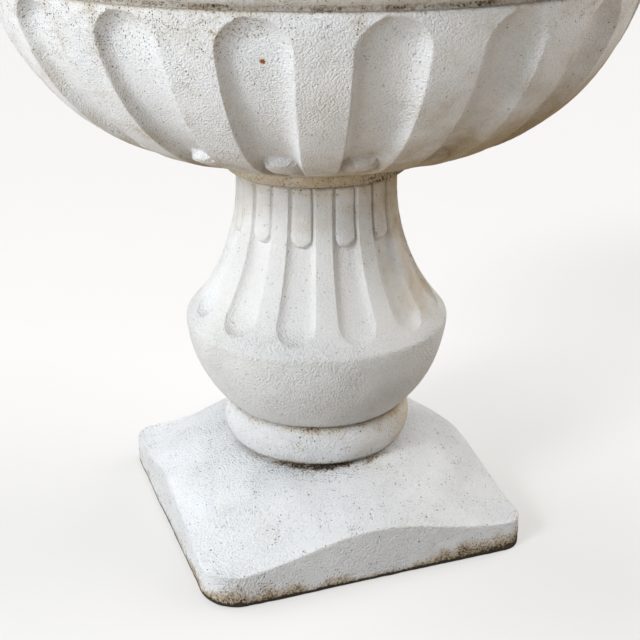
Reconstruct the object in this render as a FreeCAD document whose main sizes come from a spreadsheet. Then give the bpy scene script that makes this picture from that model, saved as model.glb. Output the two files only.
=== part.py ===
"""Stone planter: a fluted bowl on a fluted baluster stem, a base ring and a square plinth.

The castings are stacked on thin mortar beds. Steel dowels pin the pedestal together, and a plastic
tube along the axis drains the bowl and centres it. Millimetres and degrees. Z is up, and the origin
is the middle of the plinth's underside.
"""
import FreeCAD, Part
import math
import os
import Sketcher

SIZES = {
    # plinth
    "plinth_side": 300.0,
    "plinth_height": 78.5,
    "plinth_corner_radius": 22.0,
    "plinth_crown_radius": 79.0,
    "plinth_turn_radius": 150.0,
    "plinth_land_radius": 200.0,
    "plinth_land_height": 31.0,
    "plinth_foot_chamfer": 3.0,
    # mortar beds
    "bed_thickness": 3.0,
    "bed_rake": 5.0,
    # base ring
    "ring_height": 37.0,
    "ring_lower_radius": 79.0,
    "ring_upper_radius": 81.5,
    "ring_bulge_radius": 28.5,
    # stem
    "stem_height": 217.0,
    "stem_foot_radius": 83.0,
    "belly_height": 81.0,
    "belly_radius": 120.4,
    "belly_curve_radius": 116.0,
    "shoulder_fillet": 15.0,
    "neck_radius": 71.8,
    "neck_straight": 10.5,
    "stem_flute_count": 12,
    "stem_flute_half_angle": 9.6,
    "stem_flute_depth": 5.5,
    "stem_flute_start": 10.5,
    "stem_tongue_drop": 44.0,
    "stem_tongue_groove": 2.8,
    "stem_tongue_round": 2.0,
    "stem_tongue_sunk": 0.6,
    # bowl
    "bowl_turn": 1.8,
    "bowl_foot_radius": 80.0,
    "bowl_foot_height": 10.0,
    "bowl_underside_slope": 17.0,
    "bowl_curve_radius": 175.7,
    "bowl_curve_centre_radius": 95.4,
    "bowl_wall": 36.0,
    "bowl_flute_count": 18,
    "bowl_flute_half_angle": 5.95,
    "bowl_flute_depth": 11.0,
    "bowl_flute_margin": 3.0,
    "bowl_flute_foot_gap": 10.0,
    "bowl_flute_fade": 16.0,
    "bowl_tongue_rise": 58.5,
    "bowl_tongue_groove": 6.5,
    "bowl_tongue_round": 4.0,
    "bowl_tongue_sunk": 1.3,
    # rim
    "rim_groove_height": 171.5,
    "rim_groove_width": 4.0,
    "rim_groove_depth": 5.0,
    "rim_roll_height": 30.0,
    "rim_roll_radius": 16.0,
    "rim_lip_chamfer": 6.0,
    # drain tube and dowels
    "tube_radius": 16.0,
    "tube_wall": 2.4,
    "tube_play": 0.3,
    "tube_slide_play": 0.5,
    "tube_entry": 30.0,
    "tube_recess": 2.0,
    "dowel_count": 3,
    "dowel_radius": 6.0,
    "dowel_circle_radius": 48.0,
    "dowel_play": 0.3,
    "dowel_in_plinth": 26.0,
    "dowel_in_stem": 30.0,
    "dowel_end_gap": 1.0,
}

# Steps along the rounded end of a flute or tongue, as shares of the end's length.
FLUTE_END_STEPS = (-0.03, 0.25, 0.6, 1.0)
TONGUE_END_STEPS = (-0.1, 0.3, 0.65, 1.0)
# Steps along the neck and the bowl's side past the rounded end, as shares of the angle left.
NECK_STEPS = (0.6, 0.3, 0.0)
SIDE_STEPS = (0.33, 0.67, 1.0)
DEGREES_PER_RADIAN = math.degrees(1.0)
SAME_HEIGHT = 0.001


class Size:
    """A measure of the planter, kept both as a number and as an expression on the sheet."""

    def __init__(self, text, value):
        self.text = text
        self.value = value

    @staticmethod
    def of(other):
        return other if isinstance(other, Size) else Size(repr(float(other)), float(other))

    def __add__(self, other):
        other = Size.of(other)
        return Size(f"({self.text} + {other.text})", self.value + other.value)

    def __radd__(self, other):
        return Size.of(other) + self

    def __sub__(self, other):
        other = Size.of(other)
        return Size(f"({self.text} - {other.text})", self.value - other.value)

    def __rsub__(self, other):
        return Size.of(other) - self

    def __mul__(self, other):
        other = Size.of(other)
        return Size(f"({self.text} * {other.text})", self.value * other.value)

    def __rmul__(self, other):
        return Size.of(other) * self

    def __truediv__(self, other):
        other = Size.of(other)
        return Size(f"({self.text} / {other.text})", self.value / other.value)

    def __neg__(self):
        return Size(f"(-1 * {self.text})", -self.value)


ZERO = Size.of(0)


def sine(angle):
    return Size(f"sin({angle.text})", math.sin(math.radians(angle.value)))


def cosine(angle):
    return Size(f"cos({angle.text})", math.cos(math.radians(angle.value)))


def arcsine(ratio):
    """Angle in degrees. The sheet's asin gives an angle with a unit, which is divided out."""
    return Size(f"(asin({ratio.text}) / 1 deg)", math.degrees(math.asin(ratio.value)))


def root(square):
    return Size(f"sqrt({square.text})", math.sqrt(square.value))


def arc_radius(run, rise):
    """Radius of an arc that starts along the run and leaves it by the rise at the run's end."""
    return (run * run + rise * rise) / (2 * rise)


doc = FreeCAD.newDocument("StonePlanter")
sheet = doc.addObject("Spreadsheet::Sheet", "Sizes")


def write_cell(alias, content):
    row = write_cell.rows = write_cell.rows + 1
    sheet.set(f"A{row}", alias)
    sheet.set(f"B{row}", content)
    sheet.setAlias(f"B{row}", alias)


write_cell.rows = 0
for size_name, driving_value in SIZES.items():
    write_cell(size_name, str(driving_value))
doc.recompute()


def size(alias):
    return Size(f"Sizes.{alias}", float(SIZES[alias]))


def derive(alias, measure):
    """Writes a measure that follows from the driving sizes to the sheet, under its own name."""
    write_cell(alias, "=" + measure.text.replace("Sizes.", ""))
    return Size(f"Sizes.{alias}", measure.value)


def start_body(label, rise, turn=ZERO):
    """A body named for its piece, lifted to its place in the stack and turned about the axis."""
    body = doc.addObject("PartDesign::Body", label.title().replace("_", ""))
    body.Label = label
    body.Placement = FreeCAD.Placement(
        FreeCAD.Vector(0, 0, rise.value), FreeCAD.Rotation(FreeCAD.Vector(0, 0, 1), turn.value)
    )
    body.setExpression("Placement.Base.z", rise.text)
    if turn is not ZERO:
        body.setExpression("Placement.Rotation.Angle", turn.text)
    return body


def origin_feature(body, role):
    return next(item for item in body.Origin.OriginFeatures if item.Role == role)


def start_sketch(body, name, role):
    sketch = body.newObject("Sketcher::SketchObject", name)
    sketch.AttachmentSupport = [(origin_feature(body, role), "")]
    sketch.MapMode = "FlatFace"
    return sketch


def bind(sketch, kind, *items):
    """Adds a dimension whose last item is a Size, and ties it to the sheet."""
    *places, measure = items
    index = sketch.addConstraint(Sketcher.Constraint(kind, *places, measure.value))
    sketch.setExpression(f"Constraints[{index}]", measure.text)


def pin_point(sketch, curve, end, point):
    """Fixes one end of a curve at a point given by two Sizes, either of which may be ZERO."""
    for measure, kind, axis in ((point[0], "DistanceX", -2), (point[1], "DistanceY", -1)):
        if measure is ZERO:
            sketch.addConstraint(Sketcher.Constraint("PointOnObject", curve, end, axis))
        elif measure.value > 0:
            bind(sketch, kind, -1, 1, curve, end, measure)
        else:
            bind(sketch, kind, curve, end, -1, 1, -measure)


def arc_middle(start, end, radius, turn):
    """Middle of the short arc from start to end, which turns left where turn is 1 and right at -1."""
    chord = end - start
    half = chord.Length / 2
    left = FreeCAD.Vector(-chord.y, chord.x, 0).normalize()
    rise = radius - math.sqrt(radius * radius - half * half)
    return (start + end) / 2 - left * (rise * turn)


def outline(sketch, steps):
    """Closed outline of lines and arcs.

    A step is a point, or a point with the radius and turn of the arc that leads from it to the next.
    """
    points = [FreeCAD.Vector(step[0].value, step[1].value, 0) for step in steps]
    ends = []
    for index, step in enumerate(steps):
        start = points[index]
        end = points[(index + 1) % len(points)]
        if len(step) == 2:
            ends.append((sketch.addGeometry(Part.LineSegment(start, end)), 1, 2))
            continue
        radius, turn = step[2:]
        curve = sketch.addGeometry(Part.Arc(start, arc_middle(start, end, radius.value, turn), end))
        ends.append((curve, 1, 2) if turn > 0 else (curve, 2, 1))
    for index, (curve, _, last) in enumerate(ends):
        following, leading, _ = ends[(index + 1) % len(ends)]
        sketch.addConstraint(Sketcher.Constraint("Coincident", curve, last, following, leading))
    for (curve, first, _), step in zip(ends, steps):
        pin_point(sketch, curve, first, step[:2])
        if len(step) == 4:
            bind(sketch, "Radius", curve, step[2])


def turn_profile(body, name, steps, kind="PartDesign::Revolution"):
    """Turns a closed outline of (radius, height) steps about the body's axis."""
    sketch = start_sketch(body, name + "Profile", "XZ_Plane")
    outline(sketch, steps)
    feature = body.newObject(kind, name)
    feature.Profile = sketch
    feature.ReferenceAxis = (sketch, ["V_Axis"])
    feature.Angle = 360
    doc.recompute()
    return feature


def disc(sketch, radius, centre=(ZERO, ZERO)):
    middle = FreeCAD.Vector(centre[0].value, centre[1].value, 0)
    curve = sketch.addGeometry(Part.Circle(middle, FreeCAD.Vector(0, 0, 1), radius.value))
    bind(sketch, "Radius", curve, radius)
    pin_point(sketch, curve, 3, centre)


def pad(body, name, sketch, length):
    feature = body.newObject("PartDesign::Pad", name)
    feature.Profile = sketch
    feature.Length = length.value
    feature.setExpression("Length", length.text)
    doc.recompute()
    return feature


def check_cut(feature, before):
    """A cut that removes nothing points the wrong way."""
    if not feature.Shape.Volume < before - 1.0:
        raise RuntimeError(f"{feature.Name} removes nothing")


def bore(body, name, radius, low, depth, centre=(ZERO, ZERO)):
    """Round hole of a depth, from a height upwards."""
    before = body.Shape.Volume
    sketch = start_sketch(body, name + "Circle", "XY_Plane")
    sketch.AttachmentOffset = FreeCAD.Placement(FreeCAD.Vector(0, 0, low.value), FreeCAD.Rotation())
    sketch.setExpression("AttachmentOffset.Base.z", low.text)
    disc(sketch, radius, centre)
    pocket = body.newObject("PartDesign::Pocket", name)
    pocket.Profile = sketch
    pocket.Reversed = True
    pocket.Length = depth.value
    pocket.setExpression("Length", depth.text)
    doc.recompute()
    check_cut(pocket, before)
    return pocket


def repeat(body, name, original, count):
    """Copies a feature round the body's axis."""
    pattern = body.newObject("PartDesign::PolarPattern", name)
    pattern.Originals = [original]
    pattern.Axis = (origin_feature(body, "Z_Axis"), [""])
    pattern.Angle = 360
    pattern.Occurrences = int(count.value)
    pattern.setExpression("Occurrences", count.text)
    body.Tip = pattern
    doc.recompute()
    return pattern


def edge_names(shape, height):
    """Names of the edges that lie wholly at a height."""
    names = []
    for index, edge in enumerate(shape.Edges, start=1):
        box = edge.BoundBox
        if max(abs(box.ZMin - height.value), abs(box.ZMax - height.value)) < SAME_HEIGHT:
            names.append(f"Edge{index}")
    return names


def dress(body, kind, name, base, height, amount, measure):
    """Fillet or chamfer on the edges that lie at a height."""
    feature = body.newObject(kind, name)
    feature.Base = (base, edge_names(base.Shape, height))
    setattr(feature, amount, measure.value)
    feature.setExpression(amount, measure.text)
    doc.recompute()
    return feature


def station_sketch(body, name, place):
    """Sketch set square to a path in the XZ plane, with its X along the path's outward normal.

    A place is the path point's radius and height, and the angle of the normal below the horizontal.
    """
    radius, height, dip = place
    sketch = start_sketch(body, name, "XY_Plane")
    sketch.AttachmentOffset = FreeCAD.Placement(
        FreeCAD.Vector(radius.value, 0, height.value),
        FreeCAD.Rotation(FreeCAD.Vector(0, 1, 0), dip.value),
    )
    sketch.setExpression("AttachmentOffset.Base.x", radius.text)
    sketch.setExpression("AttachmentOffset.Base.z", height.text)
    sketch.setExpression("AttachmentOffset.Rotation.Angle", dip.text)
    return sketch


def loft(body, kind, name, sections):
    doc.recompute()
    feature = body.newObject(kind, name)
    feature.Profile = sections[0]
    feature.Sections = sections[1:]
    doc.recompute()
    return feature


def cut_flutes(body, name, stations, count):
    """Hollow channels. A station is a place, the flute's half width and full depth there, and the share
    of that depth to which it is cut."""
    before = body.Shape.Volume
    sections = []
    for index, (place, half_width, depth, share) in enumerate(stations):
        sketch = station_sketch(body, f"{name}Section{index}", place)
        circle = arc_radius(half_width, depth)
        disc(sketch, circle, (circle - depth * share, ZERO))
        sections.append(sketch)
    flute = loft(body, "PartDesign::SubtractiveLoft", name, sections)
    check_cut(flute, before)
    return repeat(body, name + "s", flute, count)


def add_tongues(body, name, stations, count):
    """Cabling: raised tongues with round backs, let into the flutes.

    A station is a place, the tongue's half width, the height of its round back, the depth of its
    crest below the surface and the depth of its underside.
    """
    before = body.Shape.Volume
    sections = []
    for index, (place, half_width, back, crest, under) in enumerate(stations):
        sketch = station_sketch(body, f"{name}Section{index}", place)
        edge = crest + back
        outline(
            sketch,
            [
                (-under, -half_width),
                (-edge, -half_width, arc_radius(half_width, back), 1),
                (-edge, half_width),
                (-under, half_width),
            ],
        )
        sections.append(sketch)
    tongue = loft(body, "PartDesign::AdditiveLoft", name, sections)
    if not tongue.Shape.Volume > before + 1.0:
        raise RuntimeError(f"{name} adds nothing")
    return repeat(body, name + "s", tongue, count)


def fade(step):
    """Share of the full depth or sinking at a step along a rounded end: a parabola."""
    return (1 - step) * (1 - step)


bed_thickness = size("bed_thickness")
plinth_height = size("plinth_height")
ring_height = size("ring_height")
stem_height = size("stem_height")
ring_rise = derive("ring_rise", plinth_height + bed_thickness)
ring_bed_rise = derive("ring_bed_rise", ring_rise + ring_height)
stem_rise = derive("stem_rise", ring_bed_rise + bed_thickness)
bowl_bed_rise = derive("bowl_bed_rise", stem_rise + stem_height)
bowl_rise = derive("bowl_rise", bowl_bed_rise + bed_thickness)

tube_radius = size("tube_radius")
tube_hole_radius = derive("tube_hole_radius", tube_radius + size("tube_play"))
tube_slide_radius = derive("tube_slide_radius", tube_radius + size("tube_slide_play"))
dowel_radius = size("dowel_radius")
dowel_hole_radius = derive("dowel_hole_radius", dowel_radius + size("dowel_play"))
dowel_circle_radius = size("dowel_circle_radius")
dowel_count = size("dowel_count")
dowel_in_plinth = size("dowel_in_plinth")
dowel_in_stem = size("dowel_in_stem")


def dowel_holes(body, low, depth):
    name = body.Name + "DowelHole"
    hole = bore(body, name, dowel_hole_radius, low, depth, (dowel_circle_radius, ZERO))
    repeat(body, name + "s", hole, dowel_count)


def make_plinth():
    """Square block with rounded corners. A turned ogee lifts the middle of each side."""
    body = start_body("plinth", ZERO)
    side = size("plinth_side")
    corner = size("plinth_corner_radius")
    half = side / 2
    flat = half - corner
    sketch = start_sketch(body, "PlinthOutline", "XY_Plane")
    outline(
        sketch,
        [
            (flat, -half, corner, 1),
            (half, -flat),
            (half, flat, corner, 1),
            (flat, half),
            (-flat, half, corner, 1),
            (-half, flat),
            (-half, -flat, corner, 1),
            (-flat, -half),
        ],
    )
    pad(body, "PlinthBlock", sketch, plinth_height)

    crown = size("plinth_crown_radius")
    turn = size("plinth_turn_radius")
    land = size("plinth_land_radius")
    land_height = size("plinth_land_height")
    fall = (plinth_height - land_height) / (land - crown)
    upper_drop = derive("plinth_upper_drop", fall * (turn - crown))
    lower_drop = derive("plinth_lower_drop", fall * (land - turn))
    before = body.Shape.Volume
    ogee = turn_profile(
        body,
        "PlinthOgee",
        [
            (crown, plinth_height, arc_radius(turn - crown, upper_drop), -1),
            (turn, plinth_height - upper_drop, arc_radius(land - turn, lower_drop), 1),
            (land, land_height),
            (side, land_height),
            (side, plinth_height),
        ],
        "PartDesign::Groove",
    )
    check_cut(ogee, before)
    chamfer = size("plinth_foot_chamfer")
    dress(body, "PartDesign::Chamfer", "PlinthFootChamfer", ogee, ZERO, "Size", chamfer)
    bore(body, "PlinthDrain", tube_slide_radius, ZERO, plinth_height)
    hole_depth = dowel_in_plinth + size("dowel_end_gap")
    dowel_holes(body, plinth_height - hole_depth, hole_depth)
    return body


def make_bed(label, rise, joint_radius, dowelled):
    """Mortar bed, raked back from the faces of the castings that it joins."""
    body = start_body(label, rise)
    sketch = start_sketch(body, body.Name + "Outline", "XY_Plane")
    disc(sketch, joint_radius - size("bed_rake"))
    disc(sketch, tube_hole_radius)
    pad(body, body.Name + "Pad", sketch, bed_thickness)
    if dowelled:
        dowel_holes(body, ZERO, bed_thickness)
    return body


def make_base_ring():
    """Half-round ring, bored for the drain tube and the dowels."""
    body = start_body("base_ring", ring_rise)
    turn_profile(
        body,
        "RingTurning",
        [
            (tube_hole_radius, ZERO),
            (size("ring_lower_radius"), ZERO, size("ring_bulge_radius"), 1),
            (size("ring_upper_radius"), ring_height),
            (tube_hole_radius, ring_height),
        ],
    )
    dowel_holes(body, ZERO, ring_height)
    return body


def make_stem():
    """Baluster: a round belly, a shoulder, and a hollow-sided neck with cabled flutes."""
    body = start_body("stem", stem_rise)
    belly_radius = size("belly_radius")
    belly_height = size("belly_height")
    neck_radius = size("neck_radius")
    neck_straight = size("neck_straight")
    neck_height = derive("neck_height", stem_height - neck_straight)
    neck_rise = derive("neck_rise", neck_height - belly_height)
    neck_curve = derive("neck_curve", arc_radius(neck_rise, belly_radius - neck_radius))
    turning = turn_profile(
        body,
        "StemTurning",
        [
            (tube_hole_radius, ZERO),
            (size("stem_foot_radius"), ZERO, size("belly_curve_radius"), 1),
            (belly_radius, belly_height, neck_curve, -1),
            (neck_radius, neck_height),
            (neck_radius, stem_height),
            (tube_hole_radius, stem_height),
        ],
    )
    fillet = size("shoulder_fillet")
    dress(body, "PartDesign::Fillet", "StemShoulder", turning, belly_height, "Radius", fillet)

    def on_neck(angle):
        """Place on the neck's curve, by the angle below the curve's upper end."""
        return neck_radius + neck_curve * (1 - cosine(angle)), neck_height - neck_curve * sine(angle), -angle

    def angle_along(length):
        return length / neck_curve * DEGREES_PER_RADIAN

    count = size("stem_flute_count")
    spread = derive("stem_flute_spread", sine(size("stem_flute_half_angle")))
    depth = size("stem_flute_depth")
    shoulder_angle = arcsine(neck_rise / neck_curve)
    flute_end = derive("stem_flute_end", shoulder_angle - angle_along(size("stem_flute_start")))
    end_angle = derive("stem_flute_end_angle", angle_along(belly_radius * spread))
    stations = []
    for step in FLUTE_END_STEPS:
        place = on_neck(flute_end - end_angle * step)
        stations.append((place, place[0] * spread, depth, 1 - fade(step)))
    for step in NECK_STEPS:
        place = on_neck(flute_end * step)
        stations.append((place, place[0] * spread, depth, Size.of(1)))
    above = (neck_radius, stem_height + depth, ZERO)
    stations.append((above, neck_radius * spread, depth, Size.of(1)))
    cut_flutes(body, "StemFlute", stations, count)

    half_width = derive("stem_tongue_half_width", neck_radius * spread - size("stem_tongue_groove"))
    back = size("stem_tongue_round")
    sunk = size("stem_tongue_sunk")
    under = depth + depth
    tip_angle = derive("stem_tongue_tip", arcsine((size("stem_tongue_drop") - neck_straight) / neck_curve))
    tip_length = derive("stem_tongue_tip_length", angle_along(half_width))
    stations = []
    for step in TONGUE_END_STEPS:
        sinking = (depth - sunk) * fade(step)
        place = on_neck(tip_angle - tip_length * step)
        stations.append((place, half_width, back, sunk + sinking, under + sinking))
    for height in (neck_height, stem_height):
        stations.append(((neck_radius, height, ZERO), half_width, back, sunk, under))
    add_tongues(body, "StemTongue", stations, count)
    dowel_holes(body, ZERO, dowel_in_stem)
    return body


def make_dowels():
    """Steel pins through the base ring, from the plinth into the stem."""
    body = start_body("pedestal_dowels", plinth_height - dowel_in_plinth)
    body.AllowCompound = True
    length = derive("dowel_length", dowel_in_plinth + stem_rise - plinth_height + dowel_in_stem)
    sketch = start_sketch(body, "DowelCircle", "XY_Plane")
    disc(sketch, dowel_radius, (dowel_circle_radius, ZERO))
    pin = pad(body, "Dowel", sketch, length)
    repeat(body, "Dowels", pin, dowel_count)
    return body


def make_drain_tube():
    """Plastic tube along the axis, from just above the ground up into the bowl's foot."""
    recess = size("tube_recess")
    body = start_body("drain_tube", recess)
    sketch = start_sketch(body, "TubeRing", "XY_Plane")
    disc(sketch, tube_radius)
    disc(sketch, tube_radius - size("tube_wall"))
    pad(body, "Tube", sketch, bowl_rise + size("tube_entry") - recess)
    return body


def make_bowl():
    """Bowl with a foot, cabled flutes, a grooved roll for a rim, and a hollow with a drain hole."""
    body = start_body("bowl", bowl_rise, size("bowl_turn"))
    foot_radius = size("bowl_foot_radius")
    foot_height = size("bowl_foot_height")
    slope = size("bowl_underside_slope")
    curve = size("bowl_curve_radius")
    centre_radius = size("bowl_curve_centre_radius")
    reach = (centre_radius - foot_radius) * sine(slope) + curve
    centre_height = derive("bowl_curve_centre_height", foot_height + reach / cosine(slope))
    knee_radius = derive("bowl_knee_radius", centre_radius + curve * sine(slope))
    knee_height = derive("bowl_knee_height", centre_height - curve * cosine(slope))

    def curve_at(radius, height):
        """Distance from the axis to a circle about the side's centre, at a height."""
        drop = centre_height - height
        return centre_radius + root(radius * radius - drop * drop)

    groove_height = size("rim_groove_height")
    groove_depth = size("rim_groove_depth")
    side_radius = derive("bowl_side_radius", curve_at(curve, groove_height))
    roll_low = derive("rim_roll_low", groove_height + size("rim_groove_width"))
    roll_top = derive("rim_roll_top", roll_low + size("rim_roll_height"))
    chamfer = size("rim_lip_chamfer")
    hollow = derive("bowl_hollow_radius", curve - size("bowl_wall"))
    lip_radius = derive("rim_lip_radius", curve_at(hollow, roll_top - chamfer))
    floor_height = derive("bowl_floor_height", centre_height - hollow)
    turn_profile(
        body,
        "BowlTurning",
        [
            (tube_slide_radius, ZERO),
            (foot_radius, ZERO),
            (foot_radius, foot_height),
            (knee_radius, knee_height, curve, 1),
            (side_radius, groove_height),
            (side_radius - groove_depth, groove_height),
            (side_radius - groove_depth, roll_low),
            (side_radius, roll_low, size("rim_roll_radius"), 1),
            (side_radius, roll_top),
            (lip_radius + chamfer, roll_top),
            (lip_radius, roll_top - chamfer, hollow, -1),
            (centre_radius, floor_height),
            (tube_slide_radius, floor_height),
        ],
    )

    def on_side(angle):
        """Place on the round side, by the angle below its centre."""
        return centre_radius + curve * cosine(angle), centre_height - curve * sine(angle), angle

    def on_underside(radius):
        return radius, foot_height + (radius - foot_radius) * sine(slope) / cosine(slope), 90 - slope

    def angle_along(length):
        return length / curve * DEGREES_PER_RADIAN

    count = size("bowl_flute_count")
    spread = derive("bowl_flute_spread", sine(size("bowl_flute_half_angle")))
    deepness = derive("bowl_flute_deepness", size("bowl_flute_depth") / side_radius)
    groove_angle = arcsine((centre_height - groove_height) / curve)
    flute_top = derive("bowl_flute_top", groove_angle + angle_along(size("bowl_flute_margin")))
    end_angle = derive("bowl_flute_end_angle", angle_along(side_radius * spread))
    knee_angle = 90 - slope
    flute_stop = derive("bowl_flute_stop", foot_radius + size("bowl_flute_foot_gap"))
    fade_start = derive("bowl_fade_start", flute_stop + size("bowl_flute_fade"))

    def flute_station(place, share):
        return place, place[0] * spread, place[0] * deepness, Size.of(share)

    stations = [flute_station(on_side(flute_top + end_angle * step), 1 - fade(step)) for step in FLUTE_END_STEPS]
    past_end = flute_top + end_angle
    for step in SIDE_STEPS:
        stations.append(flute_station(on_side(past_end + (knee_angle - past_end) * step), 1))
    stations.append(flute_station(on_underside(fade_start), 1))
    stations.append(flute_station(on_underside(flute_stop), FLUTE_END_STEPS[0]))
    cut_flutes(body, "BowlFlute", stations, count)

    tip_angle = derive("bowl_tongue_tip", arcsine((centre_height - size("bowl_tongue_rise")) / curve))
    tip_radius = derive("bowl_tongue_tip_radius", on_side(tip_angle)[0])
    tip_width = derive("bowl_tongue_tip_width", tip_radius * spread - size("bowl_tongue_groove"))
    tip_length = derive("bowl_tongue_tip_length", angle_along(tip_width))
    tip_depth = derive("bowl_tongue_tip_depth", tip_radius * deepness)
    back = size("bowl_tongue_round")
    sunk = size("bowl_tongue_sunk")

    def tongue_station(place, sinking):
        """A tongue is as wide, round and sunk as its share of the radius at the tip allows."""
        share = place[0] / tip_radius
        crest = sunk * share + tip_depth * sinking
        under = tip_depth * (share + 1) + tip_depth * sinking
        return place, tip_width * share, back * share, crest, under

    stations = []
    for step in TONGUE_END_STEPS:
        stations.append(tongue_station(on_side(tip_angle + tip_length * step), fade(step)))
    stations.append(tongue_station(on_side(knee_angle), 0))
    stations.append(tongue_station(on_underside(fade_start), 0))
    stations.append(tongue_station(on_underside(flute_stop), 1))
    add_tongues(body, "BowlTongue", stations, count)
    return body


bodies = [
    make_plinth(),
    make_bed("plinth_bed", plinth_height, size("ring_lower_radius"), True),
    make_base_ring(),
    make_bed("ring_bed", ring_bed_rise, size("ring_upper_radius"), True),
    make_stem(),
    make_dowels(),
    make_drain_tube(),
    make_bed("bowl_bed", bowl_bed_rise, size("neck_radius"), False),
    make_bowl(),
]
doc.recompute()

for item in doc.Objects:
    if "Invalid" in item.State or "Error" in item.State:
        raise RuntimeError(f"{item.Name}: {item.State}")
os.makedirs("parts", exist_ok=True)
for body in bodies:
    if body.Shape.isNull() or not body.Shape.isValid():
        raise RuntimeError(f"{body.Label} has no valid shape")
    body.Shape.exportStep(f"parts/{body.Label}.step")
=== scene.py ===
"""Looks of the stone planter: weathered white cast stone on a pale floor.

The four castings are redrawn as fine grids of points. A casting is a turned profile, or a rounded
square, carried round the axis, and its flutes and tongues are cut in along the profile's normal.
Dirt, lichen, stains and some painted shade follow masks that are worked out from each casting's shape.
"""
import itertools
import math

import bpy
import numpy as np
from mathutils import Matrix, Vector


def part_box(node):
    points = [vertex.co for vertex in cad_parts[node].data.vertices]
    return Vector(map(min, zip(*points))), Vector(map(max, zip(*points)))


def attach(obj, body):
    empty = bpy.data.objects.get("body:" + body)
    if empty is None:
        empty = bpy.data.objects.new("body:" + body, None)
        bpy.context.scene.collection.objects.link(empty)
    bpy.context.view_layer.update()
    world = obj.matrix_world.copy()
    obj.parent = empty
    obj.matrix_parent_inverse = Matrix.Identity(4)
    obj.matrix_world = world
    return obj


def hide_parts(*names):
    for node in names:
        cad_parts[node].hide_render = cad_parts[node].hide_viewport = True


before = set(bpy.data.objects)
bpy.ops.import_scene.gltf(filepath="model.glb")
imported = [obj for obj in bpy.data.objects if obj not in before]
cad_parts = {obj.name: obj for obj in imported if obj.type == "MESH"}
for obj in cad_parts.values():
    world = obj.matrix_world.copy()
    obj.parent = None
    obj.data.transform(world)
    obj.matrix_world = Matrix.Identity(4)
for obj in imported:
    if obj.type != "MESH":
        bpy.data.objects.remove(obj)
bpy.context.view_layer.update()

MM = 0.001
TURN = 2 * math.pi

# Sizes of the castings. The plinth's corners, the stem's belly rise and shoulder and the bowl's turn
# follow the photograph closer than the solids do. The others are the solids' own.
PLINTH_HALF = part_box("plinth")[1][0]
PLINTH_CORNERS = np.array([22, 22, 34, 19]) * MM
PLINTH_CROWN = 79 * MM
PLINTH_BEND = 150 * MM
PLINTH_LAND = 200 * MM
PLINTH_LAND_RISE = 31 * MM
RING_LOW_RADIUS = 79 * MM
RING_TOP_RADIUS = 81.5 * MM
RING_BULGE = 28.5 * MM
STEM_FOOT = 83 * MM
BELLY_RISE = 82.5 * MM
BELLY_RADIUS = 120.4 * MM
BELLY_CURVE = 116 * MM
SHOULDER_ROUND = 7 * MM
NECK_RADIUS = 71.8 * MM
NECK_STRAIGHT = 10.5 * MM
BOWL_FOOT = 80 * MM
BOWL_FOOT_RISE = 10 * MM
BOWL_SLOPE = math.radians(17)
BOWL_CURVE = 175.7 * MM
BOWL_CENTRE = 95.4 * MM
BOWL_WALL = 36 * MM
BOWL_TURN = math.radians(1.1)
RIM_GROOVE = 171.5 * MM
RIM_GROOVE_WIDTH = 4 * MM
RIM_GROOVE_DEPTH = 5 * MM
RIM_ROLL = 16 * MM
RIM_ROLL_HEIGHT = 30 * MM
LIP_CHAMFER = 6 * MM
DRAIN = 16.5 * MM
TUBE_HOLE = 16.3 * MM

# Flutes and the tongues in their ends. A wall is steeper for a higher power.
BOWL_FLUTES = 18
BOWL_FLUTE_HALF_ANGLE = math.radians(5.75)
BOWL_FLUTE_DEPTH = 11 * MM
BOWL_FLUTE_MARGIN = 3 * MM
BOWL_LEFT_WALL_POWER = 9.0
BOWL_RIGHT_WALL_POWER = 3.6
BOWL_TONGUE_RISE = 46 * MM
BOWL_TONGUE_ROUND = 13 * MM
BOWL_TONGUE_GROOVE = 5.5 * MM
STEM_FLUTES = 12
STEM_FLUTE_HALF_ANGLE = math.radians(9.6)
STEM_FLUTE_DEPTH = 5.5 * MM
STEM_FLUTE_MARGIN = 10.5 * MM
STEM_WALL_POWER = 4
STEM_TONGUE_DROP = 50 * MM
STEM_TONGUE_ROUND = 8 * MM
STEM_TONGUE_GROOVE = 4.0 * MM

# Where the flutes of the bowl start to be cut near the foot, and where they have their full depth.
BOWL_FLUTE_START = 90 * MM
BOWL_FLUTE_FULL = 108 * MM

# A profile is walked at this step. Rows nearer to the axis than the hidden radius lie in a bore or a joint.
PROFILE_STEP = 0.4 * MM
HIDDEN_RADIUS = 50 * MM

# How far below and above the tongues' tips the rows lie close together.
BOWL_TIP_BELOW = 14 * MM
BOWL_TIP_ABOVE = 4 * MM
STEM_TIP_BELOW = 6 * MM
STEM_TIP_ABOVE = 9 * MM

# The way the limewash brush ran over the bowl: up to the right, as the photograph shows it.
BRUSH = (0.77, -0.28, 0.57)

# A speck of iron in the bowl's stone that has rusted.
RUST_PLACE = (-0.1173, -0.2191, 0.4783)

# Colours of the weathered limewash. A tint is multiplied with the colour below it. The beige stain also
# paints shade on the right sides and on the bowl's underside, the soils also paint a shadow line along the
# plinth's foot, and the dust tint also paints shade in the grain's hollows.
WARM_TINT = (0.99, 0.98, 0.955, 1.0)
DUST_AND_SHADE_TINT = (0.66, 0.63, 0.58, 1.0)
BEIGE_STAIN_AND_SHADE = (0.50, 0.405, 0.275, 1.0)
THIN_SOIL_AND_SHADE = (0.39, 0.30, 0.195, 1.0)
THICK_SOIL_AND_SHADE = (0.022, 0.018, 0.014, 1.0)
BLACK_LICHEN = (0.06, 0.048, 0.036, 1.0)
PIT_DIRT = (0.12, 0.105, 0.09, 1.0)
RUST = (0.30, 0.10, 0.02, 1.0)


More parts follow.
